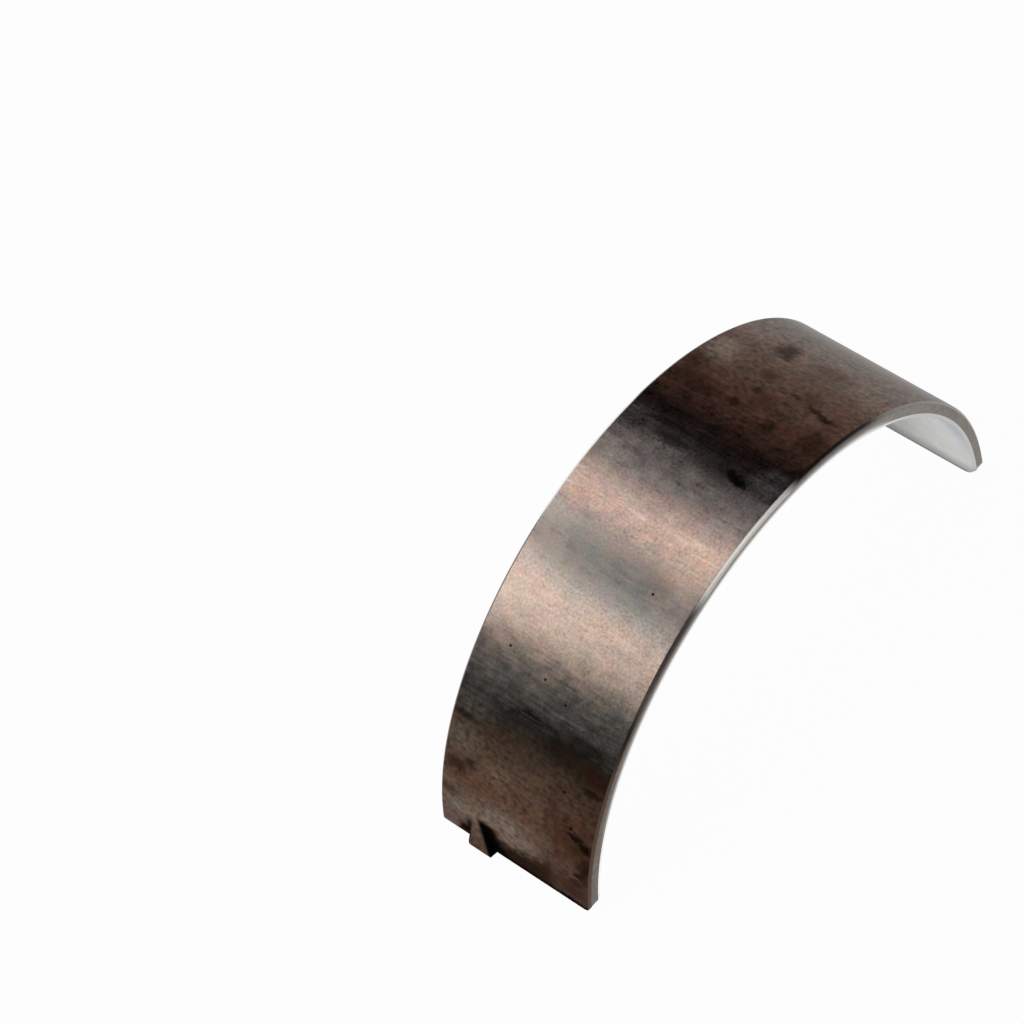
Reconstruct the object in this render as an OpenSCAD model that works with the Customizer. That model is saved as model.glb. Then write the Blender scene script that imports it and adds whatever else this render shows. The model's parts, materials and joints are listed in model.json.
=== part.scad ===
// Half shell of a plain engine bearing: a formed steel back with a bonded bearing-alloy lining.
// It stands loose on its two parting faces, crown up, slightly sprung open as it is before fitting.
// X runs across the parting faces, Y along the bore axis and Z up to the crown.
// The origin is in the parting plane, midway between the faces and midway along the width.

/* [Shell] */
// Diameter of the housing bore that the shell seats in
housing_d = 56.7; // [44:0.1:90]
// How much wider than the housing the loose shell stands across its parting faces
free_spread = 2.1; // [0:0.1:3]
// Width of the shell along the bore axis
shell_w = 17; // [13:0.5:40]
// Whole wall, steel and lining together
wall_t = 1.6; // [1.4:0.05:3]
// Thickness of the bonded lining
lining_t = 0.45; // [0.3:0.05:0.6]

/* [Edges] */
// Chamfer on the side edges of the back
back_chamfer = 0.25; // [0.1:0.05:0.5]
// Chamfer on the side edges of the bore
bore_chamfer = 0.2; // [0.1:0.05:0.25]
// Rounding of the four corners where the side faces meet the parting faces
end_corner_r = 0.5; // [0.1:0.05:1]

/* [Tang] */
// Width of the locating tang at the parting face, along the bore axis
tang_w = 2.8; // [2:0.1:5]
// Width of the tang at its top, where it leaves the wall
tang_top_w = 1; // [0.8:0.1:2]
// Height over which the tang is bent out of the wall
tang_h = 3.2; // [2:0.1:5]
// How far the tang stands out of the back at the parting face
tang_out = 0.8; // [0.5:0.05:1.1]
// Distance from the +Y side face to the tang
tang_inset = 3.5; // [2:0.1:6]
// Rounding of the tang's drawn corner, on its +Y side
tang_corner_r = 0.5; // [0.1:0.05:0.8]

/* [Hidden] */
$fn = 240;
// How far cutting shapes run past the surface that they cut
past = 2;

// The loose shell keeps the length of the seated half circle, so its radius follows from its spread.
seated_arc = PI * housing_d / 2;
open_w = housing_d + free_spread;
half_wrap = solve_half_wrap(90, 8);
outer_r = seated_arc / 2 / (half_wrap * PI / 180);
bond_r = outer_r - wall_t + lining_t;
bore_r = outer_r - wall_t;
// Depth of the arc's centre below the parting plane
arc_drop = outer_r * cos(half_wrap);

tang_y0 = shell_w / 2 - tang_inset - tang_w;
tang_y1 = shell_w / 2 - tang_inset;

// Half the angle that the loose arc spans, in degrees: sin(h) / h is the open width over the arc length.
function solve_half_wrap(h, steps) =
    steps == 0 ? h : solve_half_wrap(h - half_wrap_step(h), steps - 1);
function half_wrap_step(h) =
    (sin(h) * seated_arc - h * PI / 180 * open_w) / (cos(h) * seated_arc - open_w) * 180 / PI;

// Distance from the YZ plane to an arc of radius r, at height z above the parting plane
function arc_x(r, z) = sqrt(r * r - pow(z + arc_drop, 2));

// What a rounding of the corner at the origin takes away, the corner's sides running to -X and to +Y
module corner_waste(r) {
    difference() {
        translate([-r, -past])
            square([r + past, r + past]);
        translate([-r, r])
            circle(r);
    }
}

// What stands above the parting plane, with the corners of its ends rounded
module above_parting() {
    reach = outer_r + past;
    intersection() {
        children();
        translate([-reach, 0, 0])
            rotate([90, 0, 90])
                linear_extrude(2 * reach)
                    difference() {
                        translate([-shell_w, 0])
                            square([2 * shell_w, reach]);
                        for (side = [0, 1])
                            mirror([side, 0])
                                translate([shell_w / 2, 0])
                                    corner_waste(end_corner_r);
                    }
    }
}

// Whole ring about the bore axis, from a section given as radius and place along the axis
module ring(section) {
    translate([0, 0, -arc_drop])
        rotate([90, 0, 0])
            rotate(-90)
                rotate_extrude()
                    polygon(section);
}

// Prism through the wall over the tang as it is seen from the front, narrowing upward on its -Y side
module tang_front() {
    reach = outer_r + tang_out + past;
    translate([-reach, 0, 0])
        rotate([90, 0, 90])
            linear_extrude(reach)
                polygon([
                    [tang_y0, -past],
                    [tang_y1, -past],
                    [tang_y1, tang_h],
                    [tang_y1 - tang_top_w, tang_h],
                    [tang_y0, 0]
                ]);
}

// Prism over the tang's width from an outline in the XZ plane, trimmed to the tang's front
module across_tang(outline) {
    intersection() {
        translate([0, tang_y1, 0])
            rotate([90, 0, 0])
                linear_extrude(tang_w)
                    polygon(outline);
        tang_front();
    }
}

// Everything behind the bent face that starts on the arc of radius r and leans out to the parting plane,
// as far inward as the depth given
module behind_bent_face(r, depth) {
    across_tang([
        [-arc_x(r, tang_h), tang_h],
        [-arc_x(r, 0) - tang_out, 0],
        [-arc_x(r, 0) - tang_out, -past],
        [-arc_x(r, 0) + depth, -past],
        [-arc_x(r, tang_h) + depth, tang_h]
    ]);
}

// Upright column over the tang's plan, with its drawn corner rounded
module tang_plan() {
    tip_x = -arc_x(outer_r, 0) - tang_out;
    linear_extrude(tang_h)
        difference() {
            translate([tip_x, tang_y0])
                square([tang_out + wall_t, tang_w]);
            difference() {
                translate([tip_x, tang_y1 - tang_corner_r])
                    square(tang_corner_r);
                translate([tip_x + tang_corner_r, tang_y1 - tang_corner_r])
                    circle(tang_corner_r);
            }
        }
}

module steel_back() {
    steel_t = wall_t - lining_t;
    color([0.46, 0.41, 0.37])
        above_parting()
            difference() {
                union() {
                    ring([
                        [bond_r, -shell_w / 2],
                        [outer_r - back_chamfer, -shell_w / 2],
                        [outer_r, -shell_w / 2 + back_chamfer],
                        [outer_r, shell_w / 2 - back_chamfer],
                        [outer_r - back_chamfer, shell_w / 2],
                        [bond_r, shell_w / 2]
                    ]);
                    intersection() {
                        behind_bent_face(outer_r, steel_t / 2);
                        tang_plan();
                    }
                }
                behind_bent_face(bond_r, past);
            }
}

module bearing_lining() {
    color([0.82, 0.82, 0.83])
        above_parting()
            difference() {
                union() {
                    ring([
                        [bore_r + bore_chamfer, -shell_w / 2],
                        [bond_r, -shell_w / 2],
                        [bond_r, shell_w / 2],
                        [bore_r + bore_chamfer, shell_w / 2],
                        [bore_r, shell_w / 2 - bore_chamfer],
                        [bore_r, -shell_w / 2 + bore_chamfer]
                    ]);
                    behind_bent_face(bond_r, lining_t / 2);
                }
                behind_bent_face(bore_r, past);
            }
}

steel_back();
bearing_lining();
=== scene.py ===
# One loose engine bearing half shell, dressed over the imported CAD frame.
# Lengths are in millimetres until something is made, and arc angles are in degrees at the bore axis,
# measured from the crown and negative towards the tang. The near side is the one at -Y.
import json
import math
from collections import namedtuple

import bmesh
import bpy
from mathutils import Matrix, Vector


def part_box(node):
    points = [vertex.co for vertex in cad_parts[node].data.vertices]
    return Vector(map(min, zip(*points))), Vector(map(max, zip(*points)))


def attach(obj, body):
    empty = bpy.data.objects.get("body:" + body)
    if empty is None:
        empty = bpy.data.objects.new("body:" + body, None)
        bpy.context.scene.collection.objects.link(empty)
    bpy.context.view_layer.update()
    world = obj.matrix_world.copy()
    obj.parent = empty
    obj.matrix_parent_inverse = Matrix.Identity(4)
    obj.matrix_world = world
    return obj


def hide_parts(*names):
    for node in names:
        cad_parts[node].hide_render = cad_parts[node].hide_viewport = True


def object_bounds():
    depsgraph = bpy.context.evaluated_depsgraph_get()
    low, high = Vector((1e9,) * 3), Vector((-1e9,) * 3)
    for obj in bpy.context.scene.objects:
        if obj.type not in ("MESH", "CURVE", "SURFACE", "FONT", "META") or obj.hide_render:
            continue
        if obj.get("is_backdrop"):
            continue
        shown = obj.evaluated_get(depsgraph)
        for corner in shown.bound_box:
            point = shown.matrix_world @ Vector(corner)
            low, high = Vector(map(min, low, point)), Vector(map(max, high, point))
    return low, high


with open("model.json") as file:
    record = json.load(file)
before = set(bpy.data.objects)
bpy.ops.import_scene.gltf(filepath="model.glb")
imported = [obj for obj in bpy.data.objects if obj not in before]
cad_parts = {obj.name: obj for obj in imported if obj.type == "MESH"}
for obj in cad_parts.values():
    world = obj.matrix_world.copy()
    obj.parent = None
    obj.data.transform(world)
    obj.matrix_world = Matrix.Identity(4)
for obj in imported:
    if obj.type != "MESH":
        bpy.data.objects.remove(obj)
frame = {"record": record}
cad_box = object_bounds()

MM = 0.001

# Shell sizes, from the frame
steel_low, steel_high = (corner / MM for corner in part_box("steel_back"))
lining_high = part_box("bearing_lining")[1] / MM
mount_dims = {mount["name"]: mount["dims"] for mount in frame["record"]["mounts"]}
HALF_SPAN = steel_high.x
CROWN = steel_high.z
HALF_W = steel_high.y
OUTER_R = (HALF_SPAN ** 2 / CROWN + CROWN) / 2
DROP = OUTER_R - CROWN
BOND_R = lining_high.z + DROP
BORE_R = mount_dims["journal_bore"]["r_mm"]
HALF_WRAP = math.acos(DROP / OUTER_R)
ARC_LENGTH = 2 * OUTER_R * HALF_WRAP

# Edge sizes, as in part.scad
BACK_CHAMFER = 0.25
BORE_CHAMFER = 0.2
CORNER_R = 0.5
# The corners of the near side are worn rounder, the most at the bore
NEAR_CORNER_R = 0.8
BORE_CORNER_R = 1.3
# Breaks that the CAD leaves sharp
EDGE_R = 0.05
PARTING_R = 0.07

# Locating tang, as in part.scad, and the slim flanks at its sides
TANG_OUT = -steel_low.x - HALF_SPAN
TANG_H = 3.2
TANG_W = 2.8
TANG_TOP_W = 1.0
TANG_INSET = 3.5
TANG_CORNER_R = 0.5
TANG_Y1 = HALF_W - TANG_INSET
TANG_Y0 = TANG_Y1 - TANG_W
TANG_LEAN = TANG_Y1 - TANG_TOP_W - TANG_Y0
NEAR_FLANK_W = 0.1
FAR_FLANK_W = 0.06

# Mesh density
TANG_STEP = 0.12
ARC_STEP = 0.45
PLAIN_COLUMNS = 44
FLANK_COLUMNS = 2
FACE_COLUMNS = 12
ROUND_COLUMNS = 6
FAR_COLUMNS = 16
BREAK_STEPS = 3
SHARP_ANGLE = math.radians(32)
# Faces of the back lower than this are part of its parting faces
PARTING_Z = PARTING_R / 4

# Camera, as the photograph was taken
LENS_MM = 140.6
SENSOR_MM = 36
CAMERA_TARGET = Vector((-3.70, 20.39, 7.46))
CAMERA_DISTANCE = 364.8
CAMERA_AZIMUTH = -42.13
CAMERA_ELEVATION = 53.82
CAMERA_ROLL = -10.56
CAMERA_CLIP = 10

# Stage: the white floor, and each softbox's name, direction, distance, width, length and radiance
FLOOR_HALF = 3000
FLOOR_GREY = (0.9, 0.9, 0.9)
FLOOR_WHITE_SHARE = 0.97
SOFTBOXES = [
    ("softbox_high", (-0.08, 0.44, 0.895), 600, 200, 700, 1.5),
    ("softbox_side", (-0.63, 0.44, 0.64), 600, 260, 700, 1.4),
    ("front_fill", (0.18, -0.87, 0.43), 600, 370, 200, 1.2),
    ("room_fill", (0.80, 0.44, 0.40), 800, 500, 800, 0.5),
]
ROOM_COLOUR = (0.9, 0.95, 1.0)
ROOM_STRENGTH = 0.12
# Height of a unit direction where the white horizon has ended, and up to which it is full
HORIZON = (0.17, 0.13)

# One place along the arc: its share of the half arc, and its distance to the nearest end
Row = namedtuple("Row", "share from_end")
# One face of a layer, with two directions along the radius: into the wall, and that in which a broken
# parting edge pulls the face, or 0 where it isn't broken
Face = namedtuple("Face", "r chamfer towards_wall chamfered pull")
# One place along the width: its share of the tang's depth, and the rounding taken off that depth
Column = namedtuple("Column", "y depth_share rounding")
# Place of a shaded point on the shell laid flat
Place = namedtuple("Place", "angle y radius flat")


# Shape of the two layers

def arc_x(r, z):
    """Distance from the YZ plane to the arc of radius r at height z."""
    return math.sqrt(max(r * r - (z + DROP) ** 2, 0))


def tang_depth(r, z):
    """How far the bent tang stands out of the arc of radius r at height z."""
    if z >= TANG_H:
        return 0.0
    top = arc_x(r, TANG_H)
    lip = arc_x(r, 0) + TANG_OUT
    bent = top + (lip - top) * (1 - z / TANG_H)
    return max(bent - arc_x(r, z), 0.0)


def near_flank_y(z):
    """Where the tang's sheared flank stands: it slants away from the near side towards the top."""
    share = min(max(z / TANG_H, 0), 1)
    return TANG_Y0 + share * TANG_LEAN


def spread(start, end, count):
    """Evenly spaced places from start up to, but not including, end."""
    return [start + (end - start) * k / count for k in range(count)]


def columns_at(z, edge):
    """Columns from one side edge to the other at one height."""
    flank = near_flank_y(z)
    columns = [Column(y, 0, 0) for y in spread(-HALF_W + edge, flank - NEAR_FLANK_W, PLAIN_COLUMNS)]
    for k in range(FLANK_COLUMNS):
        share = k / FLANK_COLUMNS
        columns.append(Column(flank - NEAR_FLANK_W * (1 - share), share, 0))
    columns += [Column(y, 1, 0) for y in spread(flank, TANG_Y1 - TANG_CORNER_R, FACE_COLUMNS)]
    for k in range(ROUND_COLUMNS + 1):
        angle = math.pi / 2 * k / ROUND_COLUMNS
        columns.append(Column(TANG_Y1 - TANG_CORNER_R * (1 - math.sin(angle)), 1,
                              TANG_CORNER_R * (1 - math.cos(angle))))
    columns += [Column(y, 0, 0) for y in spread(TANG_Y1 + FAR_FLANK_W, HALF_W - edge, FAR_COLUMNS)]
    columns.append(Column(HALF_W - edge, 0, 0))
    return columns


def rounded(before, corner, after, r):
    """Points of the arc of radius r that rounds a corner."""
    before, corner, after = Vector(before), Vector(corner), Vector(after)
    come, leave = (before - corner).normalized(), (after - corner).normalized()
    half = come.angle(leave) / 2
    centre = corner + (come + leave).normalized() * (r / math.sin(half))
    start = corner + come * (r / math.tan(half)) - centre
    end = corner + leave * (r / math.tan(half)) - centre
    return [tuple(centre + start.slerp(end, k / BREAK_STEPS).normalized() * r)
            for k in range(BREAK_STEPS + 1)]


def edge_path(face):
    """Section of one side edge, from the side face to the running face, as (radius, inset)."""
    # The points beyond the chamfer only give the directions of the two faces
    beyond = 3 * face.chamfer
    wall = (face.r + face.towards_wall * beyond, 0.0)
    side = (face.r + face.towards_wall * face.chamfer, 0.0)
    front = (face.r, face.chamfer)
    along = (face.r, beyond)
    path = rounded(wall, side, front, EDGE_R) + rounded(side, front, along, EDGE_R)
    if face.chamfered:
        return path
    return [(face.r, inset) for _, inset in path]


def shell_rows():
    """Rows along the arc, close together at the parting faces and over the tang."""
    breaks = [PARTING_R * (1 - math.cos(math.pi / 2 * k / BREAK_STEPS)) for k in range(BREAK_STEPS + 1)]
    tang_rows = spread(breaks[-1] + TANG_STEP, TANG_H + TANG_STEP, round(TANG_H / TANG_STEP))
    start = breaks + tang_rows
    rest = spread(start[-1] + ARC_STEP, ARC_LENGTH - PARTING_R, round(ARC_LENGTH / ARC_STEP))
    lengths = start + rest + [ARC_LENGTH - step for step in reversed(breaks)]
    half = ARC_LENGTH / 2
    return [Row(length / half - 1, min(length, ARC_LENGTH - length)) for length in lengths]


def corner_trim(r, y):
    """How much the rounded end corner shortens the arc of radius r at a place along the width."""
    corner_r = CORNER_R
    if y < 0:
        corner_r = NEAR_CORNER_R if r > BOND_R - EDGE_R else BORE_CORNER_R
    into = abs(y) - (HALF_W - corner_r)
    if into <= 0:
        return 0.0
    return corner_r - math.sqrt(max(corner_r ** 2 - into ** 2, 0))


def parting_inset(from_end):
    """How far the broken parting edge pulls the surface in, at a distance from the parting face."""
    if from_end >= PARTING_R:
        return 0.0
    return PARTING_R - math.sqrt(PARTING_R ** 2 - (PARTING_R - from_end) ** 2)


def shell_point(r, column, row, pull):
    """One vertex of the sweep."""
    y = column.y
    angle = row.share * (math.acos(DROP / r) - corner_trim(r, y) / OUTER_R)
    inset = parting_inset(row.from_end)
    radius = r + pull * inset
    x, z = radius * math.sin(angle), radius * math.cos(angle) - DROP
    side = min(max((abs(y) - HALF_W + BACK_CHAMFER) / BACK_CHAMFER, 0), 1)
    if row.share < 0 and column.depth_share > 0:
        x -= column.depth_share * max(tang_depth(r, max(z, 0)) - column.rounding, 0)
    return x, y - math.copysign(side * inset, y), max(z, 0)


def half_section(face, row):
    """One row of vertices across the width, on one face of a layer."""
    height = TANG_H
    if row.share < 0:
        height = face.r * math.cos(row.share * math.acos(DROP / face.r)) - DROP
    *edge, (_, last_inset) = edge_path(face)
    points = [shell_point(r, Column(-HALF_W + inset, 0, 0), row, face.pull) for r, inset in edge]
    points += [shell_point(face.r, column, row, face.pull) for column in columns_at(height, last_inset)]
    points += [shell_point(r, Column(HALF_W - inset, 0, 0), row, face.pull) for r, inset in reversed(edge)]
    return points


def layer_mesh(outer, inner):
    """Closed mesh between two faces of a layer, swept along the arc, with its faces turned outward."""
    mesh = bmesh.new()
    grid = []
    for row in shell_rows():
        loop = half_section(outer, row) + list(reversed(half_section(inner, row)))
        grid.append([mesh.verts.new(Vector(point) * MM) for point in loop])
    count = len(grid[0])
    for low, high in zip(grid, grid[1:]):
        for k in range(count):
            after = (k + 1) % count
            mesh.faces.new((low[k], low[after], high[after], high[k]))
    for end in (grid[0], grid[-1]):
        for k in range(count // 2 - 1):
            mesh.faces.new((end[k], end[k + 1], end[count - 2 - k], end[count - 1 - k]))
    bmesh.ops.recalc_face_normals(mesh, faces=mesh.faces)
    if mesh.calc_volume(signed=True) < 0:
        bmesh.ops.reverse_faces(mesh, faces=mesh.faces)
    return mesh


def sweep(name, outer, inner):
    """New object of one layer between two faces."""
    data = bpy.data.meshes.new(name)
    mesh = layer_mesh(outer, inner)
    mesh.to_mesh(data)
    mesh.free()
    data.shade_smooth()
    data.set_sharp_from_angle(angle=SHARP_ANGLE)
    piece = bpy.data.objects.new(name, data)
    bpy.context.scene.collection.objects.link(piece)
    return piece


# Shader helpers

# Middle of a noise's values
NOISE_MIDDLE = 0.5
# Arc angle at either end of a colour ramp
RAMP_TURN = 90.0
# Where a patch is full and where it ends, in half sizes
PATCH_CORE = 0.3
STAIN_RIM = 1.6
PIT_RIM = 1.3
# Depth of the fine relief on every metal
RELIEF_DEPTH = 0.02


def new_material(name):
    material = bpy.data.materials.new(name)
    material.use_nodes = True
    tree = material.node_tree
    return material, tree, tree.nodes["Principled BSDF"]


def add(tree, kind, sockets=None, **settings):
    """New node with its settings made and its sockets set or linked, by name or number."""
    made = tree.nodes.new(kind)
    for key, value in settings.items():
        setattr(made, key, value)
    for key, value in (sockets or {}).items():
        if isinstance(value, bpy.types.NodeSocket):
            tree.links.new(value, made.inputs[key])
        else:
            made.inputs[key].default_value = value
    return made


def calc(tree, operation, a, b=0.0, c=0.0):
    return add(tree, "ShaderNodeMath", {0: a, 1: b, 2: c}, operation=operation).outputs[0]


def times(tree, first, *others):
    """Product of values."""
    for other in others:
        first = calc(tree, "MULTIPLY", first, other)
    return first


def total(tree, start, *terms):
    """start, plus each value times its amount."""
    for value, amount in terms:
        start = calc(tree, "MULTIPLY_ADD", value, amount, start)
    return start


def rest_of(tree, share):
    """What a share leaves of 1."""
    return calc(tree, "SUBTRACT", 1.0, share)


def swing(tree, value, amount, start):
    """start, moved up and down by a noise value."""
    return total(tree, start, (calc(tree, "SUBTRACT", value, NOISE_MIDDLE), amount))


def ramp(tree, value, limits):
    """Smooth rise from 0 to 1 as value goes from the first limit to the second, whichever is higher."""
    made = add(tree, "ShaderNodeMapRange", {"Value": value, "From Min": limits[0], "From Max": limits[1]},
               interpolation_type="SMOOTHSTEP")
    return made.outputs["Result"]


def zone(tree, value, limits):
    """1 in a zone and 0 outside it; the limits are where it starts, is full, is still full and ends."""
    start, full, still_full, end = limits
    return times(tree, ramp(tree, value, (start, full)), ramp(tree, value, (end, still_full)))


def zone_level(tree, zones, level):
    """A level from its value on plain steel and what each zone adds to that."""
    plain, additions = level
    return total(tree, plain, *((zones[name], amount) for name, amount in additions.items()))


def noise(tree, flat, settings, output="Fac"):
    """Noise over the shell laid flat, with settings listed as those of the back's noises are."""
    along_arc, along_width, offset, detail, roughness = settings
    where = add(tree, "ShaderNodeMapping", {
        "Vector": flat, "Location": (offset, offset, offset), "Scale": (along_arc, along_width, 1)})
    made = add(tree, "ShaderNodeTexNoise", {
        "Vector": where.outputs[0], "Scale": 1.0, "Detail": detail, "Roughness": roughness})
    return made.outputs[output]


def rgba(colour):
    return (*colour, 1.0)


def mixed(tree, factor, a, b, blend="MIX"):
    made = add(tree, "ShaderNodeMix", {0: factor, 6: a, 7: b}, data_type="RGBA", blend_type=blend)
    return made.outputs[2]


def painted(tree, colour, mask, paint):
    """colour, covered by a paint where the mask is 1."""
    return mixed(tree, mask, colour, rgba(paint))


def tinted(tree, colour, mask, tint):
    """colour, multiplied by a tint where the mask is 1."""
    return mixed(tree, mask, colour, rgba(tint), "MULTIPLY")


def unrolled(tree):
    """Place on the shell laid flat: arc angle, width, radius, and arc length and width as a vector."""
    where = add(tree, "ShaderNodeTexCoord").outputs["Object"]
    parts = add(tree, "ShaderNodeSeparateXYZ", {0: where}).outputs
    x = calc(tree, "MULTIPLY", parts[0], 1 / MM)
    y = calc(tree, "MULTIPLY", parts[1], 1 / MM)
    z = calc(tree, "MULTIPLY_ADD", parts[2], 1 / MM, DROP)
    radians = calc(tree, "ARCTAN2", x, z)
    radius = calc(tree, "SQRT", total(tree, times(tree, z, z), (x, x)))
    flat = add(tree, "ShaderNodeCombineXYZ", {0: times(tree, radians, OUTER_R), 1: y})
    return Place(calc(tree, "DEGREES", radians), y, radius, flat.outputs[0])


def side_inset(tree, place):
    """Distance inward from the nearest side face."""
    return calc(tree, "SUBTRACT", HALF_W, calc(tree, "ABSOLUTE", place.y))


def angle_and_width(tree, place):
    return add(tree, "ShaderNodeCombineXYZ", {0: place.angle, 1: place.y}).outputs[0]


def patch(tree, spot, centre, size, rim):
    """Oval at (arc angle, width) of half size (degrees, millimetres), falling softly to 0 at its rim."""
    near = add(tree, "ShaderNodeMapping", {
        "Vector": spot, "Location": (*centre, 0), "Scale": (*size, 1)}, vector_type="TEXTURE")
    reach = add(tree, "ShaderNodeVectorMath", {0: near.outputs[0]}, operation="LENGTH")
    return ramp(tree, reach.outputs["Value"], (rim, PATCH_CORE))


def patches(tree, spot, rows):
    """Mask and paint of each row of a list of stains."""
    for turn, across, turn_size, across_size, paint, strength in rows:
        mask = patch(tree, spot, (turn, across), (turn_size, across_size), STAIN_RIM)
        yield times(tree, mask, strength), paint


def angle_ramp(tree, angle, stops):
    """Colours along the arc from (angle, colour) stops."""
    share = add(tree, "ShaderNodeMapRange", {
        "Value": angle, "From Min": -RAMP_TURN, "From Max": RAMP_TURN})
    made = add(tree, "ShaderNodeValToRGB", {0: share.outputs["Result"]})
    elements = made.color_ramp.elements
    while len(elements) < len(stops):
        elements.new(0.5)
    for element, (place, colour) in zip(elements, stops):
        element.position = (place + RAMP_TURN) / (2 * RAMP_TURN)
        element.color = rgba(colour)
    return made.outputs["Color"]


def add_relief(tree, shader, height, strength):
    bump = add(tree, "ShaderNodeBump", {
        "Height": height, "Strength": strength, "Distance": RELIEF_DEPTH * MM})
    tree.links.new(bump.outputs[0], shader.inputs["Normal"])


def clean_metal(tree, shader, colour, roughness):
    tree.links.new(colour, shader.inputs["Base Color"])
    shader.inputs["Metallic"].default_value = 1.0
    shader.inputs["Roughness"].default_value = roughness


# Paints that are used in more than one place
BLACK = (0.005, 0.004, 0.004)
UMBER = (0.014, 0.007, 0.005)
BROWN = (0.055, 0.032, 0.022)
RUST = (0.110, 0.042, 0.030)

# Tarnish of the back from the tang end to the plain end, as arc angle and colour, with painted reflections
# in it: the light tan bands are painted highlights, and the near-black bands near -54 and +4 degrees and
# the dark browns at the tang end are painted dark reflections over the tarnish
TARNISH_AND_REFLECTIONS = [
    (-87, (0.075, 0.040, 0.028)),
    (-79, (0.145, 0.098, 0.072)),
    (-72, (0.088, 0.047, 0.028)),
    (-66, (0.079, 0.048, 0.033)),
    (-59, (0.042, 0.028, 0.018)),
    (-54, (0.022, 0.021, 0.018)),
    (-48, (0.205, 0.188, 0.168)),
    (-42, (0.39, 0.300, 0.243)),
    (-33, (0.50, 0.38, 0.315)),
    (-25, (0.38, 0.36, 0.33)),
    (-20, (0.35, 0.275, 0.24)),
    (-16, (0.46, 0.32, 0.260)),
    (-12, (0.48, 0.34, 0.290)),
    (-7, (0.42, 0.35, 0.32)),
    (-3, (0.46, 0.385, 0.355)),
    (0, (0.105, 0.085, 0.080)),
    (2.5, (0.056, 0.043, 0.042)),
    (5.5, (0.038, 0.019, 0.016)),
    (14, (0.093, 0.043, 0.028)),
    (20, (0.111, 0.059, 0.040)),
    (28, (0.104, 0.065, 0.048)),
    (34, (0.148, 0.100, 0.078)),
    (40, (0.124, 0.091, 0.073)),
    (47, (0.085, 0.055, 0.039)),
    (80, (0.090, 0.072, 0.062)),
]
# Stains on the back: arc angle, width, half size in degrees and millimetres, colour and strength
STAINS = [
    (33.7, 3.0, 3.3, 1.0, BROWN, 0.55),
    (31.7, 2.1, 1.2, 0.5, UMBER, 0.4),
    (34.0, -1.8, 3.0, 2.0, (0.110, 0.062, 0.046), 0.3),
    (23.7, 1.5, 1.8, 0.8, RUST, 0.45),
    (23.5, -3.0, 2.0, 1.0, RUST, 0.35),
    (22.2, -2.0, 0.7, 0.4, UMBER, 0.5),
    (21.2, -4.6, 0.7, 0.9, UMBER, 0.6),
    (20.4, -5.9, 0.6, 0.9, UMBER, 0.6),
    (18.8, 0.75, 0.8, 0.4, UMBER, 0.6),
    (18.0, 7.2, 3.0, 1.2, UMBER, 0.35),
    (17.0, -0.4, 2.4, 1.1, RUST, 0.5),
    (16.0, -2.6, 1.3, 1.3, UMBER, 0.25),
    (14.0, -6.8, 2.6, 1.2, UMBER, 0.5),
    (13.6, 1.5, 1.0, 0.6, UMBER, 0.7),
    (13.2, 5.6, 2.0, 2.6, UMBER, 0.45),
    (12.3, -2.8, 1.3, 0.6, UMBER, 0.6),
    (10.8, -0.7, 0.8, 0.4, UMBER, 0.5),
    (5.6, 3.0, 0.8, 5.0, BLACK, 0.6),
    (0.2, 2.8, 1.5, 2.2, BLACK, 0.75),
    (0.6, -2.4, 1.4, 1.6, BLACK, 0.55),
    (0.3, -3.6, 1.0, 0.8, BLACK, 0.95),
    (-0.3, -4.5, 1.2, 0.7, BLACK, 1.0),
    (-0.9, -5.0, 0.8, 0.5, BLACK, 0.9),
    (-52.5, -5.2, 1.8, 3.0, (0.012, 0.009, 0.007), 0.7),
    (-56.5, -7.0, 2.2, 1.8, (0.046, 0.016, 0.008), 0.65),
    (-56.0, -3.6, 2.2, 2.4, (0.022, 0.012, 0.007), 0.5),
    (-59.7, 6.8, 0.6, 1.4, UMBER, 0.5),
    (-59.7, -7.3, 0.6, 1.2, UMBER, 0.55),
    (-66.0, -3.7, 1.4, 0.5, RUST, 0.5),
    (-68.5, 5.4, 0.9, 0.7, UMBER, 0.5),
    (-70.2, 6.8, 1.4, 1.1, UMBER, 0.55),
    (-70.1, -6.4, 0.8, 0.9, BLACK, 0.9),
    (-71.2, -7.6, 1.0, 0.8, BLACK, 1.0),
    (-72.6, -6.8, 1.0, 1.0, (0.062, 0.040, 0.010), 0.7),
    (-73.5, -4.6, 4.5, 0.5, RUST, 0.5),
    (-73.0, -6.3, 3.0, 1.4, (0.085, 0.035, 0.020), 0.35),
    (-75.2, -6.9, 0.7, 0.6, RUST, 0.5),
    (-76.5, -7.8, 3.5, 0.7, UMBER, 0.65),
    (-78.3, -7.2, 0.8, 0.5, UMBER, 0.7),
    (-79.3, -5.9, 0.9, 0.5, RUST, 0.5),
    (-82.3, -7.6, 0.9, 0.6, RUST, 0.6),
    (-81.6, -5.0, 0.8, 0.6, UMBER, 0.3),
    (-77.0, 7.4, 1.2, 1.0, BROWN, 0.5),
    (-79.5, -3.8, 1.8, 1.6, (0.060, 0.026, 0.014), 0.35),
    (-83.0, -6.5, 2.2, 1.6, (0.095, 0.036, 0.022), 0.6),
    (-80.6, -6.9, 0.8, 0.9, UMBER, 0.5),
    (-84.9, 5.6, 1.4, 0.65, (0.025, 0.006, 0.005), 0.95),
    (-86.2, 5.8, 0.5, 0.8, BLACK, 0.9),
]
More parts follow.
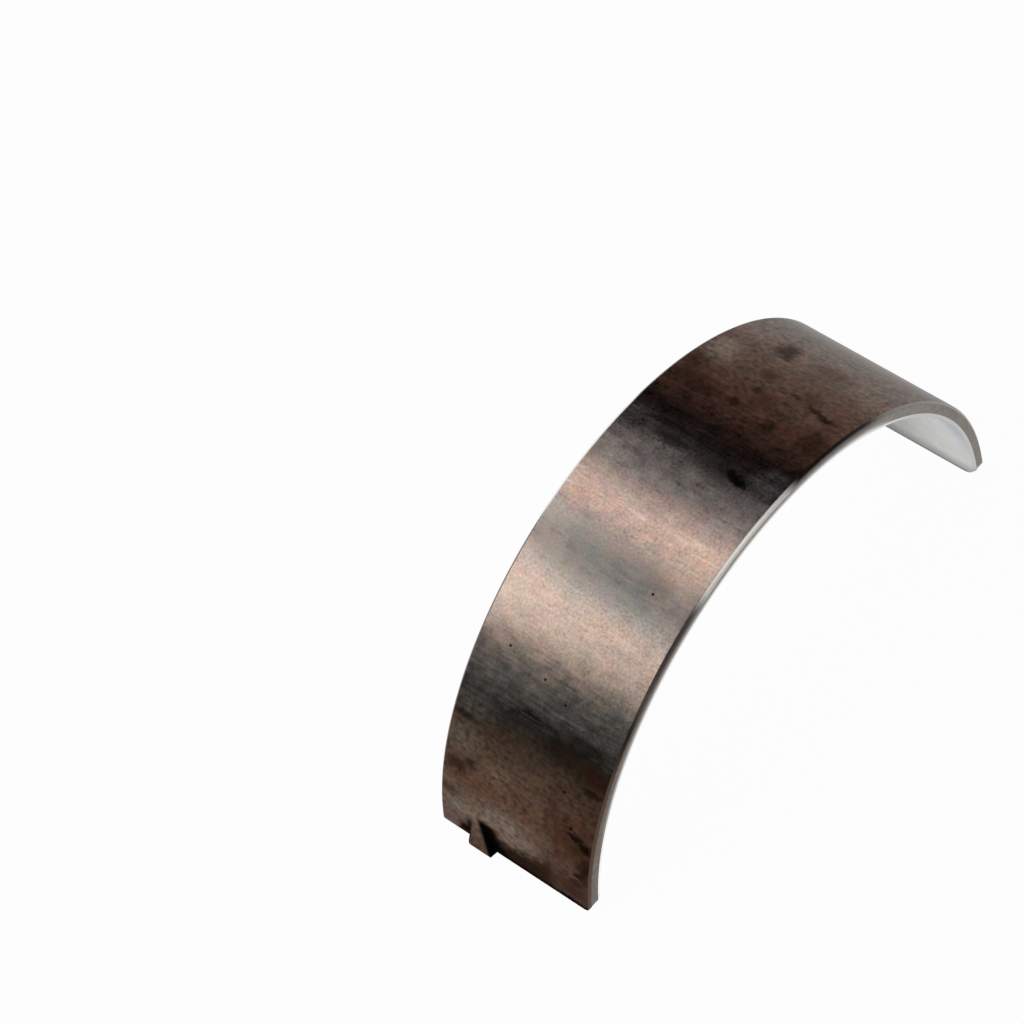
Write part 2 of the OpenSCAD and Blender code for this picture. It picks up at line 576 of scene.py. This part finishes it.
# Patches under the speckle, most of them lighter than what is round them, listed as the stains are
BARE_PATCHES = [
    (23.8, 6.6, 4.0, 1.8, (0.245, 0.185, 0.150), 0.6),
    (1.8, -6.7, 2.8, 1.5, (0.220, 0.185, 0.180), 0.75),
    (1.2, 7.0, 2.2, 1.6, (0.220, 0.185, 0.180), 0.65),
    (-6.0, 6.6, 2.0, 2.2, (0.62, 0.52, 0.47), 0.7),
    (-7.0, -6.8, 2.2, 1.8, (0.62, 0.48, 0.43), 0.7),
    (-12.2, 0.4, 1.2, 2.0, (0.38, 0.270, 0.250), 0.5),
    (-18.4, 4.8, 0.4, 1.1, (0.26, 0.195, 0.165), 0.5),
    (-14.0, -5.6, 1.0, 3.0, (0.64, 0.470, 0.340), 0.45),
    (-25.0, 7.0, 5.0, 2.2, (0.54, 0.445, 0.385), 0.75),
    (-25.0, -6.9, 4.6, 1.9, (0.53, 0.435, 0.375), 0.75),
    (-56.0, 6.6, 3.6, 2.2, (0.078, 0.070, 0.062), 0.6),
    (-64.0, 6.8, 3.0, 1.8, (0.115, 0.090, 0.072), 0.5),
    (-68.0, 2.8, 1.6, 1.5, (0.135, 0.092, 0.068), 0.6),
    (-77.5, 1.6, 2.0, 2.2, (0.180, 0.138, 0.108), 0.55),
    (-80.0, 6.4, 1.2, 0.9, (0.165, 0.160, 0.135), 0.35),
]
# Small pits filled with dirt, as arc angle and width, and their half size
PITS = [(-24.3, -4.4), (-44.1, 5.1), (-46.0, 0.8), (-48.0, -1.9), (-62.4, -4.4), (-68.6, -5.8)]
PIT_SIZE = (0.32, 0.16)

# Noises of the back: cells per millimetre along the arc and the width, offset, detail and roughness
BROAD = (0.16, 0.10, 0, 3, 0.55)
STREAK = (3.4, 0.3, 7, 3, 0.5)
MOTTLE = (0.9, 0.7, 3, 5, 0.6)
GRAIN = (2.2, 1.8, 5, 2, 0.5)
FINE_GRAIN = (4.4, 3.6, 13, 2, 0.5)
RUST_CLOUD = (0.5, 0.4, 11, 3, 0.6)
GLEAM_LINES = (1.7, 0.22, 17, 4, 0.6)
HUE_DRIFT = (0.9, 0.7, 19, 3, 0.5)
RAGGED = (1.5, 1.5, 0, 2, 0.5)
# How far a ragged rim strays, in degrees and millimetres
RAGGED_REACH = (2.4, 1.3, 0)

# Zones of the back: the arc angles where each starts, is full, is still full and ends
ZONES = {
    "lower": (-34.0, -40.0, -44.0, -50.0),
    "middle": (-15.0, -20.0, -27.0, -33.0),
    "gleaming": (-9.5, -12.0, -15.0, -20.0),
    "calm": (-18.0, -22.0, -27.0, -30.0),
    "lined": (-40.0, -46.0, -54.0, -60.0),
    "dark_band": (12.0, 6.0, 0.0, -5.0),
    "grazed": (30.0, 44.0, 52.0, 64.0),
}
# The brown, tarnished zone fades in at the crown and again towards the tang
UPPER_TARNISH = (-1.0, 4.0)
LOWER_TARNISH = (-50.0, -57.0)
# Slant of the bands in degrees per millimetre of width: the level on plain steel, and what zones add
SLANT = (0.0, {"middle": -0.45, "lower": 0.28})
# How far noises move the rims of the bands, in degrees; the one for streaks is a level with zones
BROAD_WAVER = 7.0
MOTTLE_WAVER = 4.5
STREAK_WAVER = (2.0, {"dark_band": -1.4})
# Rust clouds: their tints, where they are in the noise, and the level of their strength
RUSTY_TINT = (1.10, 0.97, 0.94)
ASHEN_TINT = (0.91, 1.00, 1.03)
RUST_LEVEL = (0.36, 0.64)
RUST_SHARE = (0.3, {"tarnished": 0.3})
# The near side is browner towards the tang end
NEAR_END_TINT = (0.50, 0.32, 0.23)
NEAR_END_Y = (-0.5, -7.0)
NEAR_END_STRAY = 8.0
NEAR_END_TURN = (-50.0, -80.0)
# Painted highlight: a gleam in the brushed lines of the bright band
GLEAM = (0.66, 0.52, 0.41)
GLEAM_LEVEL = (0.54, 0.70)
GLEAM_SHARE = 0.7
# Levels of the texture: its contrast as a whole, its brushed lines, its blotches and its coarse grain
CONTRAST = (1.0, {"tarnished": 0.75, "grazed": 1.1, "calm": -0.4, "dark_band": 1.0})
LINES = (0.5, {"dark_band": 0.1, "lined": 0.55})
BLOTCHES = (0.9, {"dark_band": 0.5, "tarnished": -0.3, "calm": -0.5, "grazed": 0.6})
COARSE_GRAIN = (1.0, {"dark_band": -0.6})
SPECKLE = 1.05
# Bare steel below this turn gets lighter towards +Y, by this share for each millimetre
LOW_BARE_TURN = (-18.0, -26.0)
LOW_BARE_SLOPE = 0.02
# Drift of the hue: its least tint, how far it rises, and the level of its strength
HUE_BASE = (0.82, 0.82, 0.82)
HUE_REACH = (0.36, 0.36, 0.36)
HUE_SHARE = (0.6, {"tarnished": 0.4})
# Dark specks in the hollows of the mottle
SPECK_LEVEL = (0.37, 0.28)
SPECK_SHARE = 0.5

# Painted shadow beside the tang, and grime with painted shade at its far foot, in millimetres from its
# sheared flank, from the parting face and from its far foot
WEDGE_FLANK = (-0.45, 0.05)
WEDGE_END = (2.6, 0.9)
WEDGE_STRAY = 1.2
WEDGE_TOP = (TANG_H + 0.4, TANG_H - 0.4)
FAR_FOOT_W = (0.6, 0.15)
FAR_FOOT_TOP = (3.0, 1.8)
FAR_FOOT_SHARE = 0.8
# Darkening along the parting edge: a brown lip, which leans along the width and is thin at the near side
LIP_BROWN = (0.044, 0.021, 0.012)
LIP_TURN = (-80.5, -84.0)
LIP_LEAN = 0.35
LIP_STRAY = 6.0
LIP_Y = (2.6, 1.6)
LIP_THIN_Y = (-6.0, -2.5)
LIP_THIN_SHARE = 0.25
LIP_FULL_GAIN = 0.65
# Black line at the rim of the parting edge
RIM_TURN = (-85.0, -86.2)
RIM_STRAY = 2.0
RIM_Y = (2.0, 1.0)

# Gloss and relief of the back
BACK_ROUGHNESS = 0.3
STREAK_ROUGHNESS = 0.1
MOTTLE_ROUGHNESS = 0.15
DIRT_AND_SHADE_ROUGHNESS = 0.4
BACK_GLANCE = (0.74, 0.73, 0.72)
GRAIN_RELIEF = 0.8
BACK_RELIEF = 0.12


def ragged_spot(tree, place):
    """Arc angle and width as a vector, shaken a little so that stains get ragged rims."""
    shake = noise(tree, place.flat, RAGGED, "Color")
    level = add(tree, "ShaderNodeVectorMath", {0: shake, 1: (NOISE_MIDDLE,) * 3}, operation="SUBTRACT")
    stray = add(tree, "ShaderNodeVectorMath", {0: level.outputs[0], 1: RAGGED_REACH}, operation="MULTIPLY")
    made = add(tree, "ShaderNodeVectorMath", {0: angle_and_width(tree, place), 1: stray.outputs[0]},
               operation="ADD")
    return made.outputs[0]


def back_zones(tree, place, streak, mottle):
    """Arc angle that wavers at the rims of the bands, and the zones of the back by name."""
    zones = {name: zone(tree, place.angle, limits) for name, limits in ZONES.items()}
    slanted = total(tree, place.angle, (place.y, zone_level(tree, zones, SLANT)))
    waver = swing(tree, noise(tree, place.flat, BROAD), BROAD_WAVER, slanted)
    waver = swing(tree, streak, zone_level(tree, zones, STREAK_WAVER), waver)
    waver = swing(tree, mottle, MOTTLE_WAVER, waver)
    zones["tarnished"] = calc(tree, "MAXIMUM", ramp(tree, waver, UPPER_TARNISH),
                              ramp(tree, waver, LOWER_TARNISH))
    return waver, zones


def band_colour(tree, place, mottle, waver, zones):
    """Colour of the tarnish and painted reflection bands, with rust clouds, the browner near end and a
    painted highlight in the brushed lines.
    """
    # The ramp paints reflections into the tarnish: light bands as painted highlights, dark bands as
    # painted dark reflections
    colour = angle_ramp(tree, waver, TARNISH_AND_REFLECTIONS)
    clouds = ramp(tree, noise(tree, place.flat, RUST_CLOUD), RUST_LEVEL)
    ashen = tinted(tree, colour, 1.0, ASHEN_TINT)
    rusty = tinted(tree, colour, 1.0, RUSTY_TINT)
    clouded = mixed(tree, clouds, ashen, rusty)
    colour = mixed(tree, zone_level(tree, zones, RUST_SHARE), colour, clouded)
    near_side = ramp(tree, swing(tree, mottle, NEAR_END_STRAY, place.y), NEAR_END_Y)
    near_end = times(tree, near_side, ramp(tree, waver, NEAR_END_TURN))
    colour = tinted(tree, colour, near_end, NEAR_END_TINT)
    # Painted highlight along the brushed lines in the gleaming zone
    lines = ramp(tree, noise(tree, place.flat, GLEAM_LINES), GLEAM_LEVEL)
    return painted(tree, colour, times(tree, lines, zones["gleaming"], GLEAM_SHARE), GLEAM)


def back_tone(tree, place, noises, zones):
    """Brightness of the texture, about 1: brushed lines, blotches and speckle."""
    streak, mottle, grain = noises
    lines = swing(tree, streak, zone_level(tree, zones, LINES), 0.0)
    blotches = swing(tree, mottle, zone_level(tree, zones, BLOTCHES), lines)
    fine = noise(tree, place.flat, FINE_GRAIN)
    coarse = times(tree, zones["tarnished"], zone_level(tree, zones, COARSE_GRAIN))
    speckle = total(tree, fine, (calc(tree, "SUBTRACT", grain, fine), coarse))
    texture = swing(tree, speckle, SPECKLE, blotches)
    tone = total(tree, 1.0, (texture, zone_level(tree, zones, CONTRAST)))
    low_bare = times(tree, rest_of(tree, zones["tarnished"]), ramp(tree, place.angle, LOW_BARE_TURN))
    return total(tree, tone, (times(tree, place.y, low_bare), LOW_BARE_SLOPE))


def hue_drift(tree, place):
    """Tint that drifts over the back."""
    drift = noise(tree, place.flat, HUE_DRIFT, "Color")
    made = add(tree, "ShaderNodeVectorMath", {0: drift, 1: HUE_REACH, 2: HUE_BASE},
               operation="MULTIPLY_ADD")
    return made.outputs[0]


def tang_shade_and_grime(tree, place, mottle):
    """Masks of a painted shadow wedge that follows the tang's sheared flank, and of grime with painted
    shade at the foot of its drawn flank.
    """
    above_end = calc(tree, "ADD", place.angle, math.degrees(HALF_WRAP))
    height = times(tree, above_end, math.radians(OUTER_R))
    flank = total(tree, TANG_Y0, (height, TANG_LEAN / TANG_H))
    beside = calc(tree, "SUBTRACT", flank, place.y)
    wedge = times(tree, ramp(tree, swing(tree, mottle, WEDGE_STRAY, beside), WEDGE_END),
                  ramp(tree, beside, WEDGE_FLANK), ramp(tree, height, WEDGE_TOP))
    from_foot = calc(tree, "ABSOLUTE", calc(tree, "SUBTRACT", place.y, TANG_Y1 + FAR_FLANK_W))
    far_foot = times(tree, ramp(tree, from_foot, FAR_FOOT_W), ramp(tree, height, FAR_FOOT_TOP),
                     FAR_FOOT_SHARE)
    return wedge, far_foot


def lip_darkening(tree, place, mottle):
    """Masks of the brown lip along the parting edge, and of the black line at its rim."""
    leaning = total(tree, place.angle, (place.y, LIP_LEAN))
    strength = total(tree, LIP_THIN_SHARE, (ramp(tree, place.y, LIP_THIN_Y), LIP_FULL_GAIN))
    lip = times(tree, ramp(tree, swing(tree, mottle, LIP_STRAY, leaning), LIP_TURN),
                ramp(tree, place.y, LIP_Y), strength)
    rim = times(tree, ramp(tree, swing(tree, mottle, RIM_STRAY, place.angle), RIM_TURN),
                ramp(tree, place.y, RIM_Y))
    return lip, rim


def dirt_and_shade_layers(tree, place, ragged, mottle):
    """Mask and paint of each layer of stains, grime and painted shade on the back, in the order in which
    they are laid on.
    """
    yield from patches(tree, ragged, STAINS)
    wedge, far_foot = tang_shade_and_grime(tree, place, mottle)
    lip, rim = lip_darkening(tree, place, mottle)
    # Grime and painted shade at the tang's far foot
    yield far_foot, UMBER
    yield lip, LIP_BROWN
    # Painted shadow beside the tang, with the black line at the parting edge's rim
    yield calc(tree, "MAXIMUM", wedge, rim), BLACK
    spot = angle_and_width(tree, place)
    for pit in PITS:
        yield patch(tree, spot, pit, PIT_SIZE, PIT_RIM), BLACK


def tarnished_back():
    material, tree, shader = new_material("tarnished_back")
    place = unrolled(tree)
    noises = [noise(tree, place.flat, settings) for settings in (STREAK, MOTTLE, GRAIN)]
    streak, mottle, grain = noises
    waver, zones = back_zones(tree, place, streak, mottle)
    ragged = ragged_spot(tree, place)
    colour = band_colour(tree, place, mottle, waver, zones)
    for mask, paint in patches(tree, ragged, BARE_PATCHES):
        colour = painted(tree, colour, mask, paint)
    colour = mixed(tree, 1.0, colour, back_tone(tree, place, noises, zones), "MULTIPLY")
    colour = mixed(tree, zone_level(tree, zones, HUE_SHARE), colour, hue_drift(tree, place), "MULTIPLY")
    specks = times(tree, ramp(tree, mottle, SPECK_LEVEL), zones["tarnished"], SPECK_SHARE)
    colour = painted(tree, colour, specks, UMBER)
    # Stains, grime and painted shade are gathered into one mask that dulls the metal
    dirt_and_shade = 0.0
    for mask, paint in dirt_and_shade_layers(tree, place, ragged, mottle):
        colour = painted(tree, colour, mask, paint)
        dirt_and_shade = calc(tree, "MAXIMUM", dirt_and_shade, mask)
    tree.links.new(colour, shader.inputs["Base Color"])
    tree.links.new(rest_of(tree, dirt_and_shade), shader.inputs["Metallic"])
    rough = swing(tree, mottle, MOTTLE_ROUGHNESS, swing(tree, streak, STREAK_ROUGHNESS, BACK_ROUGHNESS))
    tree.links.new(total(tree, rough, (dirt_and_shade, DIRT_AND_SHADE_ROUGHNESS)), shader.inputs["Roughness"])
    shader.inputs["Specular Tint"].default_value = rgba(BACK_GLANCE)
    shader.inputs["Specular IOR Level"].default_value = 0.0
    add_relief(tree, shader, swing(tree, grain, GRAIN_RELIEF, streak), BACK_RELIEF)
    return material


# Cut faces of the steel: two tones in a fine grain, in cells per millimetre
CUT_DARK = (0.140, 0.118, 0.103)
CUT_LIGHT = (0.22, 0.19, 0.168)
CUT_GRAIN = 2.2
CUT_GRAIN_DETAIL = 4
CUT_GRAIN_ROUGHNESS = 0.65
CUT_GRAIN_LEVEL = (0.3, 0.7)
CUT_ROUGHNESS = 0.32
CUT_RELIEF = 0.15
# Their tints at the plain end and towards the tang, by arc angle
PLAIN_END_TURN = (30.0, 60.0)
PLAIN_END_TINT = (0.79, 0.81, 0.73)
LOW_END_TURN = (-46.0, -58.0)
LOW_END_TINT = (0.67, 0.61, 0.54)
# Bright strip of the side face next to the lining, by arc angle and radius
INNER_ZONE = (36.0, 26.0, -55.0, -74.0)
INNER_R = (OUTER_R - 0.7, OUTER_R - 1.05)
INNER_PAINT = (0.56, 0.54, 0.525)
# Rubbed stretch of the side face and its chamfer; the chamfer's bright paint there is wear and a painted
# highlight
WEAR_AND_HIGHLIGHT_ZONE = (-25.0, -19.0, 2.0, 6.5)
WORN_R = (OUTER_R - 0.7, OUTER_R - 0.35)
WORN_SIDE = (0.58, 0.545, 0.51)
WORN_CHAMFER_HIGHLIGHT = (0.80, 0.76, 0.71)
BRIGHT_SHARE = 0.85
# Dark seam of the side face along the chamfer
SEAM_ZONE = (32.0, 24.0, -46.0, -54.0)
SEAM_R = (OUTER_R - 0.62, OUTER_R - 0.5)
SEAM_PAINT = (0.030, 0.027, 0.025)
SEAM_SHARE = 0.7
# Chamfer, by its inset from the side face: grimy and darkened as a painted dark reflection to past the
# crown, and lighter at the plain end as a painted highlight
CHAMFER_INSET = (0.02, 0.07)
DARK_CHAMFER_TURN = (32.0, 24.0)
SOILED_AND_DARK_REFLECTION = (0.028, 0.022, 0.018)
SOILED_AND_DARK_REFLECTION_LOW = (0.090, 0.058, 0.043)
HALF_CLEAN_ZONE = (-47.0, -38.0, -26.0, -18.0)
HALF_CLEAN = (0.135, 0.120, 0.105)
# Painted highlight along the chamfer at the plain end
PLAIN_END_HIGHLIGHT_TURN = (26.0, 36.0)
PLAIN_END_HIGHLIGHT = (0.215, 0.198, 0.187)


def side_face(tree, place, colour, chamfer, wear_and_highlight):
    """Looks of the steel's side face: end tints, bright inner strip, rubbed stretch and dark seam."""
    colour = tinted(tree, colour, ramp(tree, place.angle, PLAIN_END_TURN), PLAIN_END_TINT)
    colour = tinted(tree, colour, ramp(tree, place.angle, LOW_END_TURN), LOW_END_TINT)
    inner = times(tree, zone(tree, place.angle, INNER_ZONE), ramp(tree, place.radius, INNER_R),
                  BRIGHT_SHARE)
    colour = painted(tree, colour, inner, INNER_PAINT)
    brightened = times(tree, wear_and_highlight, ramp(tree, place.radius, WORN_R), BRIGHT_SHARE)
    colour = painted(tree, colour, brightened, WORN_SIDE)
    seam = times(tree, ramp(tree, place.radius, SEAM_R), rest_of(tree, chamfer),
                 zone(tree, place.angle, SEAM_ZONE), rest_of(tree, wear_and_highlight), SEAM_SHARE)
    return painted(tree, colour, seam, SEAM_PAINT)


def side_chamfer(tree, place, colour, chamfer, wear_and_highlight):
    """Looks of the chamfer along the back's side edges: grime with a painted dark reflection, wear with a
    painted highlight, and a painted highlight at the plain end.
    """
    # Grime and painted dark reflection on the chamfer
    dark_chamfer_paint = painted(tree, rgba(SOILED_AND_DARK_REFLECTION), ramp(tree, place.angle, LOW_END_TURN), SOILED_AND_DARK_REFLECTION_LOW)
    dark_chamfer_paint = painted(tree, dark_chamfer_paint, zone(tree, place.angle, HALF_CLEAN_ZONE), HALF_CLEAN)
    dark_chamfer = times(tree, chamfer, ramp(tree, place.angle, DARK_CHAMFER_TURN))
    colour = mixed(tree, dark_chamfer, colour, dark_chamfer_paint)
    # Worn bright chamfer with a painted highlight
    colour = painted(tree, colour, times(tree, chamfer, wear_and_highlight), WORN_CHAMFER_HIGHLIGHT)
    # Painted highlight at the plain end
    brightened = times(tree, chamfer, ramp(tree, place.angle, PLAIN_END_HIGHLIGHT_TURN))
    return painted(tree, colour, brightened, PLAIN_END_HIGHLIGHT)


def cut_steel():
    material, tree, shader = new_material("cut_steel")
    place = unrolled(tree)
    solid = add(tree, "ShaderNodeTexCoord").outputs["Object"]
    grain = add(tree, "ShaderNodeTexNoise", {
        "Vector": solid, "Scale": CUT_GRAIN / MM, "Detail": CUT_GRAIN_DETAIL,
        "Roughness": CUT_GRAIN_ROUGHNESS}).outputs["Fac"]
    chamfer = ramp(tree, side_inset(tree, place), CHAMFER_INSET)
    wear_and_highlight = zone(tree, place.angle, WEAR_AND_HIGHLIGHT_ZONE)
    colour = painted(tree, rgba(CUT_DARK), ramp(tree, grain, CUT_GRAIN_LEVEL), CUT_LIGHT)
    colour = side_face(tree, place, colour, chamfer, wear_and_highlight)
    colour = side_chamfer(tree, place, colour, chamfer, wear_and_highlight)
    clean_metal(tree, shader, colour, CUT_ROUGHNESS)
    add_relief(tree, shader, grain, CUT_RELIEF)
    return material


# Bore of the lining: fine bored rings and soft clouds, with painted shade that darkens it with the depth
# along the width
BORED_RINGS = (0.15, 7.0, 4, 3, 0.6)
BORE_CLOUD = (0.5, 0.6, 9, 4, 0.55)
RING_TONE = 0.12
CLOUD_TONE = 0.35
BORE_DEPTH_Y = (-7.5, 3.0)
BORE_NEAR = (0.58, 0.585, 0.565)
BORE_DEEP_SHADE = (0.31, 0.32, 0.30)
BORE_ROUGHNESS = 0.36
BORE_RELIEF = 0.1
# Painted lilac shade under the lip along the side edges, away from the parting faces
LILAC = (0.37, 0.37, 0.44)
LILAC_INSET = (2.2, 0.3)
LILAC_TURN = (84.0, 66.0)
LILAC_SHARE = 0.8
# Grey foot at the parting faces, with a harder line at the very end
FOOT = (0.10, 0.10, 0.09)
FOOT_TURN = (82.0, 86.5)
FOOT_LINE_TURN = (85.5, 86.1)
FOOT_LINE_GAIN = 0.6
FOOT_SHARE = 0.6
# The lining's strip of the side face, bright to past the crown and greyer at the plain end
STRIP_INSET = (0.07, 0.02)
STRIP_TURN = (15.0, 45.0)
STRIP_BRIGHT = (0.95, 0.95, 0.94)
STRIP_GREY = (0.52, 0.515, 0.505)


def bored_alloy():
    material, tree, shader = new_material("bored_alloy")
    place = unrolled(tree)
    turn = calc(tree, "ABSOLUTE", place.angle)
    inset = side_inset(tree, place)
    rings = noise(tree, place.flat, BORED_RINGS)
    cloud = noise(tree, place.flat, BORE_CLOUD)
    # Painted shade: the bore darkens deeper in along the width
    colour = painted(tree, rgba(BORE_NEAR), ramp(tree, place.y, BORE_DEPTH_Y), BORE_DEEP_SHADE)
    tone = swing(tree, cloud, CLOUD_TONE, swing(tree, rings, RING_TONE, 1.0))
    colour = mixed(tree, 1.0, colour, tone, "MULTIPLY")
    # Painted lilac shade under the lip
    lilac = times(tree, ramp(tree, inset, LILAC_INSET), ramp(tree, turn, LILAC_TURN), LILAC_SHARE)
    colour = painted(tree, colour, lilac, LILAC)
    foot = total(tree, ramp(tree, turn, FOOT_TURN), (ramp(tree, turn, FOOT_LINE_TURN), FOOT_LINE_GAIN))
    colour = painted(tree, colour, times(tree, foot, FOOT_SHARE), FOOT)
    strip = painted(tree, rgba(STRIP_BRIGHT), ramp(tree, place.angle, STRIP_TURN), STRIP_GREY)
    colour = mixed(tree, ramp(tree, inset, STRIP_INSET), colour, strip)
    clean_metal(tree, shader, colour, BORE_ROUGHNESS)
    add_relief(tree, shader, rings, BORE_RELIEF)
    return material


# Pieces

def formed_back():
    outer = Face(OUTER_R, BACK_CHAMFER, towards_wall=-1, chamfered=True, pull=-1)
    inner = Face(BOND_R, BACK_CHAMFER, towards_wall=-1, chamfered=False, pull=0)
    piece = sweep("formed_back", outer, inner)
    piece.data.materials.append(tarnished_back())
    piece.data.materials.append(cut_steel())
    for polygon in piece.data.polygons:
        centre = polygon.center / MM
        on_side = abs(centre.y) > HALF_W - BACK_CHAMFER
        polygon.material_index = 1 if on_side or centre.z < PARTING_Z else 0
    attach(piece, "root")
    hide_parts("steel_back")


def bored_lining():
    outer = Face(BOND_R, BORE_CHAMFER, towards_wall=1, chamfered=False, pull=0)
    inner = Face(BORE_R, BORE_CHAMFER, towards_wall=1, chamfered=True, pull=1)
    piece = sweep("bored_lining", outer, inner)
    piece.data.materials.append(bored_alloy())
    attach(piece, "root")
    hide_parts("bearing_lining")


# Stage

def shown_white(tree):
    """1 for the rays that show the background: straight, in gloss and through glass."""
    path = add(tree, "ShaderNodeLightPath")
    seen = calc(tree, "MAXIMUM", path.outputs["Is Camera Ray"], path.outputs["Is Glossy Ray"])
    return calc(tree, "MAXIMUM", seen, path.outputs["Is Transmission Ray"])


def white_floor():
    half = FLOOR_HALF * MM
    data = bpy.data.meshes.new("floor")
    data.from_pydata([(-half, -half, 0), (half, -half, 0), (half, half, 0), (-half, half, 0)], [],
                     [(0, 1, 2, 3)])
    floor = bpy.data.objects.new("floor", data)
    bpy.context.scene.collection.objects.link(floor)
    material = bpy.data.materials.new("white_floor")
    material.use_nodes = True
    tree = material.node_tree
    tree.nodes.clear()
    lit = add(tree, "ShaderNodeBsdfDiffuse", {"Color": rgba(FLOOR_GREY)})
    white = add(tree, "ShaderNodeEmission", {"Strength": 1.0})
    share = times(tree, shown_white(tree), FLOOR_WHITE_SHARE)
    surface = add(tree, "ShaderNodeMixShader", {0: share, 1: lit.outputs[0], 2: white.outputs[0]})
    add(tree, "ShaderNodeOutputMaterial", {"Surface": surface.outputs[0]})
    data.materials.append(material)
    floor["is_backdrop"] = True


def softbox(name, direction, distance, width, length, radiance):
    """Area lamp that looks at the object; length runs level, as nearly along Y as it can."""
    data = bpy.data.lights.new(name, "AREA")
    data.shape = "RECTANGLE"
    data.size, data.size_y = width * MM, length * MM
    data.energy = radiance * math.pi * (width * MM) * (length * MM)
    lamp = bpy.data.objects.new(name, data)
    back = Vector(direction).normalized()
    across = Vector((0, 1, 0)).cross(back).normalized()
    along = back.cross(across)
    turn = Matrix((across, along, back)).transposed().to_4x4()
    lamp.matrix_world = Matrix.Translation(back * distance * MM) @ turn
    bpy.context.scene.collection.objects.link(lamp)


def room_light():
    """A dim room that shows white near the horizon."""
    world = bpy.data.worlds.new("room")
    bpy.context.scene.world = world
    world.use_nodes = True
    tree = world.node_tree
    tree.nodes.clear()
    dim = add(tree, "ShaderNodeBackground", {"Color": rgba(ROOM_COLOUR), "Strength": ROOM_STRENGTH})
    white = add(tree, "ShaderNodeBackground", {"Strength": 1.0})
    direction = add(tree, "ShaderNodeTexCoord").outputs["Generated"]
    height = add(tree, "ShaderNodeSeparateXYZ", {0: direction}).outputs[2]
    share = times(tree, shown_white(tree), ramp(tree, height, HORIZON))
    surface = add(tree, "ShaderNodeMixShader", {0: share, 1: dim.outputs[0], 2: white.outputs[0]})
    add(tree, "ShaderNodeOutputWorld", {"Surface": surface.outputs[0]})


def photo_camera():
    azimuth, elevation = math.radians(CAMERA_AZIMUTH), math.radians(CAMERA_ELEVATION)
    roll = math.radians(CAMERA_ROLL)
    back = Vector((math.sin(azimuth) * math.cos(elevation), -math.cos(azimuth) * math.cos(elevation),
                   math.sin(elevation)))
    level = Vector((0, 0, 1)).cross(back).normalized()
    upright = back.cross(level)
    right = level * math.cos(roll) + upright * math.sin(roll)
    up = back.cross(right)
    data = bpy.data.cameras.new("camera")
    data.lens, data.sensor_width = LENS_MM, SENSOR_MM
    data.clip_start = CAMERA_CLIP * MM
    camera = bpy.data.objects.new("camera", data)
    place = (CAMERA_TARGET + back * CAMERA_DISTANCE) * MM
    turn = Matrix((right, up, back)).transposed().to_4x4()
    camera.matrix_world = Matrix.Translation(place) @ turn
    bpy.context.scene.collection.objects.link(camera)
    bpy.context.scene.camera = camera


formed_back()
bored_lining()
white_floor()
for settings in SOFTBOXES:
    softbox(*settings)
room_light()
photo_camera()
bpy.context.scene.view_settings.view_transform = "Standard"

bpy.context.view_layer.update()
boxes = {"cad": cad_box, "visual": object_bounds()}
{name: [list(low), list(high)] for name, (low, high) in boxes.items()}
